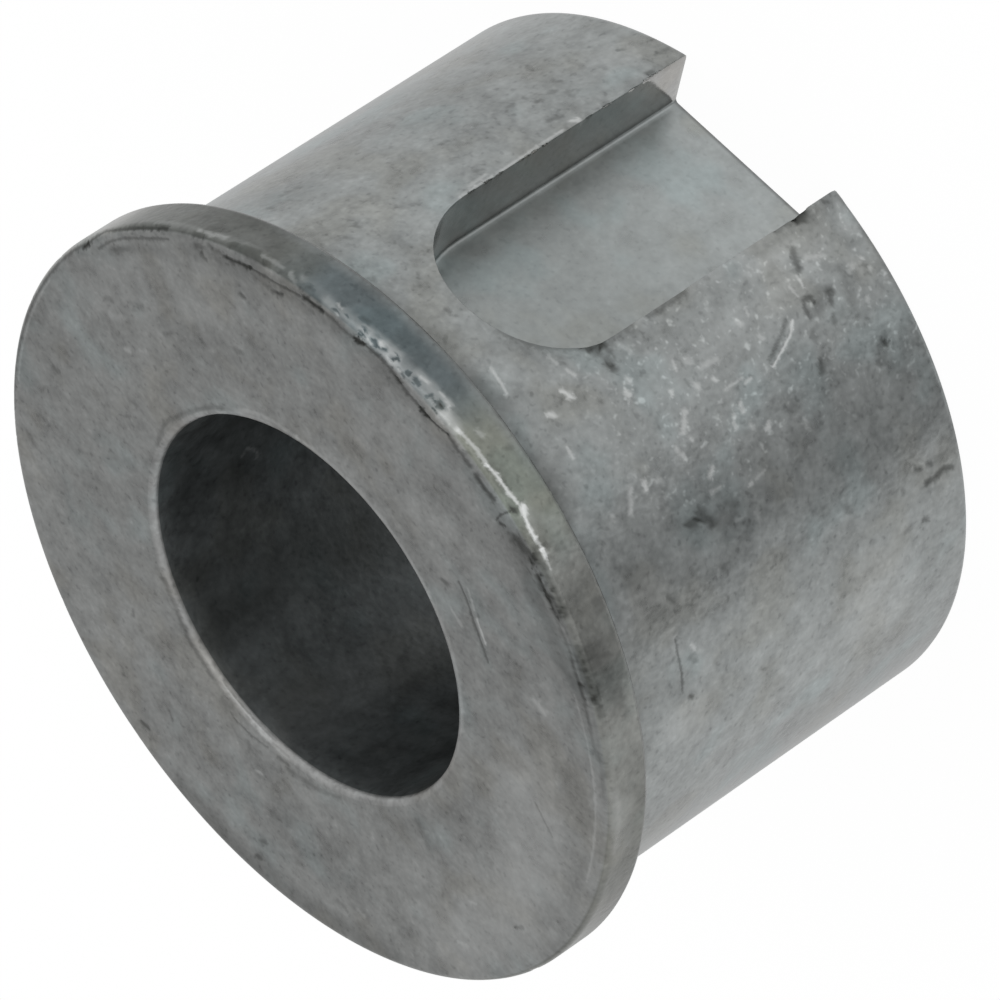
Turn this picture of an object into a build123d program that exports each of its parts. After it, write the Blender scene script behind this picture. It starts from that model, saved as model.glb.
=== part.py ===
"""Flanged bushing: a short thick-walled sleeve, flanged at one end, with a round-ended key slot in its barrel.

The bushing is one piece of pressed and sized iron-grey metal. A shaft runs in the plain bore, the barrel fits
a hub, the flange stops it there, and a key in the slot keeps it from turning.

Frame: millimetres, +Z up. The bushing stands on its slotted end, with that end's centre at the origin, the bore
on the Z axis and the flange on top. The slot opens towards -Y.
"""
from build123d import *
import os

# Bore and outside diameters
bore_diameter = 19.3
barrel_diameter = 34.925
flange_diameter = 38.1

# Lengths along the axis
overall_length = 24.5
flange_thickness = 2.38

# Key slot: open at the standing end, flat floor, half-round end below the flange
slot_width = 9.525
slot_depth = 3.87
slot_end_land = 3.42

# Edges and corners
bore_mouth_chamfer = 0.3
flange_front_radius = 0.4
flange_back_chamfer = 0.2
standing_end_radius = 0.3
under_flange_radius = 0.4
slot_corner_radius = 0.25

# How far a cutting tool runs past the metal
tool_overshoot = 2.0

# Worked out from the sizes above
bore_radius = bore_diameter / 2
barrel_radius = barrel_diameter / 2
flange_radius = flange_diameter / 2
barrel_length = overall_length - flange_thickness
slot_length = barrel_length - slot_end_land
slot_end_radius = slot_width / 2
slot_floor_height = barrel_radius - slot_depth


def turned_blank():
    """The sleeve and flange as one revolved section, with a round or a chamfer at each corner.

    The section is drawn on the slot's side of the plane that mirrors the part, with radius as x and height as y.
    """
    mirror_plane = Plane(origin=(0, 0, 0), x_dir=(0, -1, 0), z_dir=(-1, 0, 0))
    standing_inner = (bore_radius, 0)
    standing_outer = (barrel_radius, 0)
    under_flange = (barrel_radius, barrel_length)
    flange_back = (flange_radius, barrel_length)
    flange_front = (flange_radius, overall_length)
    bore_top = (bore_radius, overall_length)
    with BuildPart() as blank:
        with BuildSketch(mirror_plane) as section:
            with BuildLine():
                Polyline(
                    standing_inner, standing_outer, under_flange, flange_back, flange_front, bore_top, close=True
                )
            make_face()

            def corner(point):
                return section.vertices().sort_by_distance(point)[0]

            fillet(corner(standing_outer), standing_end_radius)
            fillet(corner(under_flange), under_flange_radius)
            fillet(corner(flange_front), flange_front_radius)
            chamfer(corner(flange_back), flange_back_chamfer)
            chamfer([corner(standing_inner), corner(bore_top)], bore_mouth_chamfer)
        revolve(axis=Axis.Z)
    return blank.part


def slot_cutter():
    """What the key slot clears: a block with a half-round end and a small radius along its bottom edge."""
    straight_length = slot_length - slot_end_radius
    floor_plane = Plane(origin=(0, -slot_floor_height, 0), x_dir=(1, 0, 0), z_dir=(0, -1, 0))
    with BuildPart() as cutter:
        with BuildSketch(floor_plane):
            with Locations((0, straight_length)):
                Circle(slot_end_radius)
            with Locations((0, (straight_length - tool_overshoot) / 2)):
                Rectangle(slot_width, straight_length + tool_overshoot)
        extrude(amount=slot_depth + tool_overshoot)
        fillet(cutter.edges().group_by(Axis.Y)[-1], slot_corner_radius)
    return cutter.part


bushing = turned_blank() - slot_cutter()

os.makedirs("parts", exist_ok=True)
export_step(bushing, "parts/bushing.step")
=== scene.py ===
import math
import random

import bmesh
import bpy
from mathutils import Matrix, Vector
from mathutils.kdtree import KDTree
from mathutils.noise import noise as noise_at


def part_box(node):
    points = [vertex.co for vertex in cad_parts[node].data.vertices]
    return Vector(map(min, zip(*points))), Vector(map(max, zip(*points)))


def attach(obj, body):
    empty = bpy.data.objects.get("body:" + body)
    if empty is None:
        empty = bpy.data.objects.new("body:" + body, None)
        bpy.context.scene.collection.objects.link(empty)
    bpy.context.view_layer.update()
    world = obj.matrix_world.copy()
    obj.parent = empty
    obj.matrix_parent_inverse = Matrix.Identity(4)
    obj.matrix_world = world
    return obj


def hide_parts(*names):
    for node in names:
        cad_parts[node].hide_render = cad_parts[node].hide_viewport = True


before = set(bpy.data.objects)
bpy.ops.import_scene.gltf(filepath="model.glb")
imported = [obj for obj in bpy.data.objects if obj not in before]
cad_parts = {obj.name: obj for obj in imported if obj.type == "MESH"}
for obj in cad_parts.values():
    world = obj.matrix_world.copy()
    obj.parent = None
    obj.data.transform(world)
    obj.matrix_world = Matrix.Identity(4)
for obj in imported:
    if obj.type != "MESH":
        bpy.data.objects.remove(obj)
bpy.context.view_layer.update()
scene = bpy.context.scene
scene.view_settings.view_transform = "Standard"
mm = 0.001


# The camera stands where the photograph's did: on the flange side, about a third of the way up, and rolled so
# that the flange faces the picture's lower left. Its long lens keeps the barrel's sides nearly parallel.
camera = bpy.data.objects.new("camera", bpy.data.cameras.new("camera"))
camera.location = (-145.69 * mm, -328.27 * mm, 236.23 * mm)
camera.rotation_euler = [math.radians(turn) for turn in (-41.652, 45.008, -165.318)]
camera.data.sensor_width = 36
camera.data.lens = 338.8
scene.collection.objects.link(camera)
scene.camera = camera


# The blank of the bushing: sleeve and flange in one piece, with a small round or chamfer at each corner. One
# section is spun about the bore, finely enough for the wear that comes later.
low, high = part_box("bushing")
flange_radius = -low.y
overall_length = high.z
bore_radius = 9.65 * mm
barrel_radius = 17.4625 * mm
flange_thickness = 2.38 * mm
barrel_length = overall_length - flange_thickness
spin_steps = 288
touching = 0.004 * mm


def is_at(vert, radius, height):
    """Whether a vertex lies on the circle of that radius at that height."""
    off_axis = math.hypot(vert.co.x, vert.co.y)
    return abs(off_axis - radius) < touching and abs(vert.co.z - height) < touching


def ring_edges(mesh, radius, height):
    """The edges of one circle about the bore."""
    return [edge for edge in mesh.edges if all(is_at(vert, radius, height) for vert in edge.verts)]


def rung_edges(mesh, one_circle, other_circle):
    """The straight edges that run from one circle to the other."""
    rungs = []
    for edge in mesh.edges:
        first, second = edge.verts
        if is_at(first, *one_circle) and is_at(second, *other_circle):
            rungs.append(edge)
        elif is_at(first, *other_circle) and is_at(second, *one_circle):
            rungs.append(edge)
    return rungs


def round_edges(mesh, edges, size, segments):
    """A round of that size along the edges, or a chamfer when it has one segment."""
    bmesh.ops.bevel(
        mesh, geom=edges, offset=size, offset_type="OFFSET", segments=segments, profile=0.5,
        affect="EDGES", clamp_overlap=False, material=-1,
    )


bore_mouth = 0.3 * mm
flange_front_round = 0.4 * mm
flange_back_chamfer = 0.2 * mm
standing_end_round = 0.3 * mm
under_flange_round = 0.4 * mm

rim_rings = [(flange_radius, overall_length - gap * 0.1 * mm) for gap in range(10, 4, -1)]
face_rings = [(flange_radius - gap * 0.1 * mm, overall_length) for gap in range(5, 13)]
blank = bmesh.new()
half_step = math.pi / spin_steps
section = [
    blank.verts.new((radius * math.sin(half_step), -radius * math.cos(half_step), height))
    for radius, height in (
        (bore_radius, 0), (barrel_radius, 0), (barrel_radius, barrel_length),
        (flange_radius, barrel_length), *rim_rings, (flange_radius, overall_length), *face_rings,
        (bore_radius, overall_length),
    )
]
outline = [blank.edges.new((section[index - 1], vert)) for index, vert in enumerate(section)]
bmesh.ops.spin(
    blank, geom=section + outline, cent=(0, 0, 0), axis=(0, 0, 1), angle=math.tau,
    steps=spin_steps, use_merge=True,
)
bmesh.ops.recalc_face_normals(blank, faces=blank.faces)

for radius, height, size, segments in (
    (bore_radius, 0, bore_mouth, 1),
    (bore_radius, overall_length, bore_mouth, 2),
    (barrel_radius, 0, standing_end_round, 3),
    (barrel_radius, barrel_length, under_flange_round, 4),
    (flange_radius, barrel_length, flange_back_chamfer, 2),
    (flange_radius, overall_length, flange_front_round, 5),
):
    round_edges(blank, ring_edges(blank, radius, height), size, segments)

for one_circle, other_circle, cuts in (
    ((bore_radius, bore_mouth), (bore_radius, overall_length - bore_mouth), 18),
    ((bore_radius + bore_mouth, overall_length), (flange_radius - 1.2 * mm, overall_length), 19),
    ((bore_radius + bore_mouth, 0), (barrel_radius - standing_end_round, 0), 5),
):
    rungs = rung_edges(blank, one_circle, other_circle)
    bmesh.ops.subdivide_edges(blank, edges=rungs, cuts=cuts, use_grid_fill=True)


# The key slot: pressed into the barrel from the standing end, with a flat floor, a half-round end and walls
# that lean out a little. A cutter of its shape, with a small radius along the floor, is cut out of the blank.
slot_half_width = 4.7625 * mm
slot_depth = 3.87 * mm
slot_end_land = 3.42 * mm
slot_corner_radius = 0.16 * mm
slot_draft = 0.13 * mm
slot_mouth_round = 0.05 * mm
overshoot = 2 * mm
slot_length = barrel_length - slot_end_land
slot_straight = slot_length - slot_half_width
slot_floor = -(barrel_radius - slot_depth)

cutter = bmesh.new()
floor_half_width = slot_half_width - slot_draft
side = cutter.verts.new((floor_half_width, slot_floor, slot_straight))
bmesh.ops.spin(
    cutter, geom=[side], cent=(0, slot_floor, slot_straight), axis=(0, -1, 0), angle=math.pi, steps=28,
)
arc = sorted(cutter.verts, key=lambda vert: vert.co.x)
left, right = arc[0], arc[-1]
feet = [cutter.verts.new((vert.co.x, slot_floor, -overshoot)) for vert in (left, right)]
cutter.edges.new((left, feet[0]))
cutter.edges.new((feet[0], feet[1]))
cutter.edges.new((feet[1], right))
floor_face = bmesh.ops.contextual_create(cutter, geom=list(cutter.edges))["faces"]
raised = bmesh.ops.extrude_face_region(cutter, geom=floor_face)["geom"]
raised_verts = [item for item in raised if isinstance(item, bmesh.types.BMVert)]
bmesh.ops.translate(cutter, verts=raised_verts, vec=(0, -slot_depth - overshoot, 0))
mouth_depth = slot_depth - barrel_radius + math.sqrt(barrel_radius ** 2 - slot_half_width ** 2)
flare = 1 + slot_draft * (slot_depth + overshoot) / mouth_depth / floor_half_width
about_end = Matrix.Translation((0, 0, -slot_straight))
bmesh.ops.scale(cutter, verts=raised_verts, vec=(flare, 1, flare), space=about_end)
bmesh.ops.recalc_face_normals(cutter, faces=cutter.faces)
floor_edges = [
    edge for edge in cutter.edges if all(abs(vert.co.y - slot_floor) < touching for vert in edge.verts)
]
round_edges(cutter, floor_edges, slot_corner_radius, 3)


def object_from(mesh, name):
    """A mesh object of that name, holding what was modelled."""
    data = bpy.data.meshes.new(name)
    mesh.to_mesh(data)
    mesh.free()
    made = bpy.data.objects.new(name, data)
    scene.collection.objects.link(made)
    return made


bushing = object_from(blank, "worn_bushing")
slot_tool = object_from(cutter, "slot_tool")
cut = bushing.modifiers.new("slot", "BOOLEAN")
cut.operation = "DIFFERENCE"
cut.solver = "EXACT"
cut.object = slot_tool
bpy.context.view_layer.update()
slotted = bpy.data.meshes.new_from_object(bushing.evaluated_get(bpy.context.evaluated_depsgraph_get()))
bushing.modifiers.clear()
bpy.data.objects.remove(slot_tool)

body = bmesh.new()
body.from_mesh(slotted)
bmesh.ops.remove_doubles(body, verts=body.verts, dist=0.2 * touching)
sharp = math.radians(40)
slot_margin = 0.06 * mm


def in_slot(vert):
    """Whether a vertex is in the slot's outline, seen from in front of it."""
    inside = abs(vert.co.x) < slot_half_width + slot_margin and vert.co.y < 0.9 * slot_floor
    return inside and vert.co.z < slot_length + slot_margin


mouth = [
    edge for edge in body.edges
    if all(in_slot(vert) for vert in edge.verts) and edge.is_convex and edge.calc_face_angle(0) > sharp
]
round_edges(body, mouth, slot_mouth_round, 2)

# Fine rows are cut across the barrel, the slot and the rim, so that dents and nicks can be pressed in.
row_height = 0.4 * mm
wall_rows = 5
wall_row_mm = 0.6
near_bore = 1.1 * bore_radius


def cut_across(mesh, faces, place, normal):
    """Cuts the faces with a plane."""
    verts = {vert for face in faces for vert in face.verts}
    edges = {edge for face in faces for edge in face.edges}
    bmesh.ops.bisect_plane(
        mesh, geom=[*verts, *edges, *faces], dist=0.2 * touching, plane_co=place, plane_no=normal,
    )


for row in range(1, int(overall_length / row_height)):
    height = row * row_height
    crossed = []
    for face in body.faces:
        heights = [vert.co.z for vert in face.verts]
        if min(heights) < height - touching and max(heights) > height + touching:
            if math.hypot(*face.calc_center_median().xy) > near_bore:
                crossed.append(face)
    cut_across(body, crossed, (0, 0, height), (0, 0, 1))

for row in range(1, wall_rows + 1):
    level = slot_floor - row * wall_row_mm * mm
    crossed = []
    for face in body.faces:
        levels = [vert.co.y for vert in face.verts]
        if min(levels) < level - touching and max(levels) > level + touching:
            if all(in_slot(vert) for vert in face.verts) and abs(face.normal.y) < 0.5:
                crossed.append(face)
    cut_across(body, crossed, (0, level, 0), (0, 1, 0))

floor_columns = 20
for column in range(1, floor_columns):
    across = slot_half_width * (2 * column / floor_columns - 1)
    crossed = [
        face for face in body.faces
        if face.normal.y < -0.99 and abs(face.calc_center_median().y - slot_floor) < touching
        and min(vert.co.x for vert in face.verts) < across - touching
        and max(vert.co.x for vert in face.verts) > across + touching
    ]
    cut_across(body, crossed, (across, 0, 0), (1, 0, 0))

# The wear that the part has picked up: nicks, pits, bright scratches and stains. The bright marks are partly
# worn metal and partly painted glints, and some rows are painted highlights, painted light bands and painted
# shade. A row gives the surface, the mark's width, its depth (minus stands proud), its tone (minus is dark),
# and its points: turn from the slot in degrees with height, or with distance from the axis on the face. The
# barrel's rows leave the surface out.
edge_marks = (
    # the flange's front edge: worn bright and pitted, with a painted highlight along its narrow bright line,
    # and a dark line inside it
    ("face", 0.5, 0.0, 0.3, ((9.8, 18.81), (7.1, 18.77), (4.8, 18.76), (2.4, 18.79))),
    ("face", 0.7, 0.0, 0.34, ((2.4, 18.79), (0.0, 18.81), (-2.7, 18.80))),
    ("face", 0.9, 0.0, 0.34, ((-2.7, 18.80), (-5.3, 18.81), (-8.1, 18.85), (-10.4, 18.88), (-12.7, 18.91))),
    ("rim", 0.4, 0.0, 0.22, ((-6.5, 23.95), (-12.0, 23.85))),
    ("rim", 0.4, 0.0, 0.16, ((6.5, 24.2), (3.0, 24.15), (-3.0, 24.0))),
    ("rim", 0.5, 0.0, 0.1, ((13.0, 24.2), (9.0, 24.2))),
    ("rim", 1.1, 0.0, -0.3, ((36.5, 23.1), (34.5, 22.8))),
    ("rim", 1.0, 0.0, -0.4, ((31.5, 22.5), (28.5, 22.7))),
    ("rim", 0.5, 0.0, -0.3, ((33.5, 23.9), (32.0, 23.7))),
    ("rim", 0.5, 0.0, -0.4, ((25.5, 24.4), (23.0, 24.3))),
    ("rim", 0.9, 0.0, 0.06, ((27.0, 23.4), (24.0, 23.5))),
    ("face", 0.5, 0.0, 0.5, ((-12.7, 18.91), (-14.1, 18.93), (-15.4, 18.93))),
    ("face", 0.14, 0.0, 0.15, (
        (3.0, 18.67), (0.7, 18.66), (-1.9, 18.70), (-3.9, 18.70), (-5.6, 18.65), (-7.3, 18.61),
    )),
    ("face", 0.2, 0.0, 0.6, ((-0.0, 18.93), (-0.4, 18.93))),
    ("rim", 0.16, 0.0, 0.4, ((-7.1, 24.00), (-8.3, 23.95))),
    ("rim", 0.18, 0.0, 0.35, ((-10.3, 23.84), (-11.1, 23.82))),
    ("rim", 0.22, -0.02, 0.45, ((-12.0, 23.86), (-12.4, 23.91))),
    ("face", 0.2, 0.0, 0.3, ((-12.5, 18.62), (-13.4, 18.58))),
    ("face", 0.14, 0.05, -0.55, ((-0.8, 18.85), (-1.2, 18.89))),
    ("face", 0.24, 0.06, -0.55, ((-2.8, 18.89), (-3.0, 18.93))),
    ("face", 0.22, 0.05, -0.5, ((-6.8, 18.91), (-7.6, 18.88))),
    ("face", 0.32, 0.08, -0.7, ((-11.4, 18.96), (-12.0, 18.97))),
    ("face", 0.18, 0.04, -0.4, ((-9.6, 18.80), (-9.9, 18.96))),
    ("face", 0.14, 0.03, -0.4, ((0.9, 18.88), (0.5, 18.88))),
    ("rim", 0.22, 0.03, -0.4, ((4.1, 23.91), (3.3, 23.86))),
    ("face", 0.26, 0.05, -0.9, ((13.4, 18.42), (11.5, 18.39), (10.0, 18.40))),
    ("face", 0.2, 0.03, -0.45, ((10.0, 18.42), (7.5, 18.36), (5.5, 18.22), (3.7, 18.28))),
    ("face", 0.24, 0.06, -0.9, ((3.3, 18.31), (2.1, 18.42))),
    ("face", 0.2, 0.04, -0.8, ((2.1, 18.42), (0.4, 18.48), (-2.2, 18.50), (-4.5, 18.37))),
    ("face", 0.24, 0.06, -0.9, ((-4.8, 18.32), (-5.4, 18.27))),
    ("face", 0.22, 0.04, -0.55, ((-5.9, 18.22), (-7.8, 18.15), (-9.3, 18.15))),
    ("face", 0.24, 0.08, -0.95, ((-10.0, 18.12), (-11.1, 18.11))),
    ("face", 0.16, 0.04, -0.75, ((-11.1, 18.11), (-13.1, 18.21), (-15.0, 18.44))),
    ("face", 0.3, 0.03, -0.6, ((-15.7, 18.43), (-17.6, 18.36), (-20.3, 18.38))),
    ("face", 0.36, 0.04, -0.7, ((-21.8, 18.31), (-23.8, 18.30), (-25.8, 18.45))),
    ("face", 0.26, 0.12, -1.0, ((-27.9, 18.95), (-28.5, 19.02))),
    ("face", 0.12, 0.03, -0.6, ((-28.4, 17.73), (-28.0, 18.22), (-28.1, 18.74))),
    ("face", 0.18, 0.03, -0.6, ((-29.0, 17.88), (-29.6, 18.11))),
    ("face", 0.5, 0.04, -0.55, ((-31.5, 18.29), (-33.4, 18.53), (-35.0, 18.64))),
    ("face", 0.45, 0.04, -0.55, ((-37.8, 18.46), (-40.7, 18.53), (-42.9, 18.63))),
    ("face", 0.17, 0.0, 0.75, ((-15.4, 18.93), (-17.5, 18.98), (-19.5, 19.01), (-21.7, 19.01))),
    ("rim", 0.17, 0.0, 1.2, ((-21.7, 24.15), (-24.0, 24.07), (-25.9, 24.06), (-27.7, 23.97))),
    ("rim", 0.26, -0.03, 1.6, ((-28.5, 23.79), (-29.3, 23.93))),
    ("rim", 0.18, -0.01, 1.4, ((-29.8, 23.99), (-31.3, 24.09), (-32.8, 24.08))),
    ("rim", 0.24, -0.02, 1.6, ((-34.7, 24.01), (-35.5, 24.06))),
    ("rim", 0.16, 0.0, 0.9, ((-32.8, 24.08), (-34.7, 24.01))),
    ("rim", 0.12, 0.0, 0.7, ((-36.0, 24.06), (-37.4, 24.11))),
    ("face", 0.22, 0.02, -0.3, (
        (-41.0, 18.47), (-44.0, 18.42), (-48.0, 18.51), (-52.0, 18.41), (-56.0, 18.38), (-60.0, 18.35),
    )),
    ("face", 0.34, 0.0, -0.5, (
        (-34.6, 18.90), (-37.1, 18.90), (-40.1, 18.91), (-44.1, 18.87), (-48.2, 18.88), (-52.2, 18.88),
        (-56.3, 18.91),
    )),
    ("face", 0.3, 0.0, -0.25, ((-56.3, 18.91), (-62.1, 18.83), (-68.0, 18.72), (-72.0, 18.64))),
    ("rim", 0.3, 0.0, -0.3, ((-41.4, 24.21), (-46.5, 24.25), (-50.6, 24.21), (-54.7, 24.22), (-58.9, 24.18))),
    ("face", 0.18, 0.0, -0.3, ((-35.0, 18.51), (-38.0, 18.53), (-41.0, 18.47))),
    ("face", 0.14, -0.01, 0.28, (
        (-56.0, 17.89), (-62.0, 17.97), (-68.0, 18.09), (-75.0, 18.19), (-83.0, 18.24), (-90.0, 18.27),
    )),
    ("rim", 0.4, 0.0, 0.16, (
        (43.5, 24.17), (39.6, 24.15), (34.3, 24.19), (30.4, 24.16), (25.5, 24.09), (22.4, 24.10),
    )),
    ("rim", 0.5, 0.0, 0.16, ((-71.4, 24.11), (-76.7, 24.08), (-82.0, 24.03))),
    ("rim", 0.9, 0.0, 0.16, ((-74.2, 23.64), (-83.2, 23.50))),
    ("rim", 0.3, 0.0, -0.2, ((-90.2, 23.56), (-99.0, 23.23))),
    ("rim", 0.5, 0.0, 0.22, ((-28.7, 23.90), (-31.9, 23.90))),
    ("rim", 0.6, 0.0, 0.13, ((-29.4, 23.70), (-31.8, 23.21), (-32.6, 22.81))),
    ("face", 0.2, 0.0, 0.25, ((-14.4, 18.71), (-16.5, 18.71), (-18.0, 18.67))),
    ("face", 0.3, 0.0, -0.3, ((-34.7, 19.00), (-37.3, 19.01), (-40.3, 19.01), (-43.4, 19.01))),
    ("face", 0.3, 0.0, -0.3, ((-57.6, 19.00), (-60.7, 19.01), (-63.6, 18.99), (-68.4, 18.93))),
    ("face", 0.26, 0.0, -0.3, ((-54.0, 18.49), (-58.0, 18.46), (-62.0, 18.42), (-66.0, 18.50))),
    ("face", 0.16, 0.03, -0.8, (
        (61.9, 18.67), (58.6, 18.87), (55.5, 18.99), (51.2, 18.93), (46.8, 18.90), (43.4, 18.91),
        (40.6, 18.94),
    )),
    ("face", 0.16, 0.02, -0.55, (
        (58.1, 18.40), (54.4, 18.53), (51.0, 18.54), (47.4, 18.46), (43.9, 18.46), (40.7, 18.46),
    )),
    ("face", 0.4, 0.0, -0.22, ((55.6, 18.09), (52.5, 18.04), (50.5, 17.98))),
    ("face", 0.4, 0.0, -0.22, ((47.4, 17.92), (42.7, 17.83))),
    ("face", 0.3, 0.02, -0.35, ((42.3, 18.98), (40.6, 18.91))),
    ("face", 0.18, 0.02, -0.7, ((60.0, 18.8), (66.0, 18.85), (76.0, 18.78), (90.0, 18.78), (104.0, 18.8))),
    ("face", 0.12, -0.01, 0.3, ((74.0, 18.62), (87.0, 18.56), (98.0, 18.53))),
)
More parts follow.
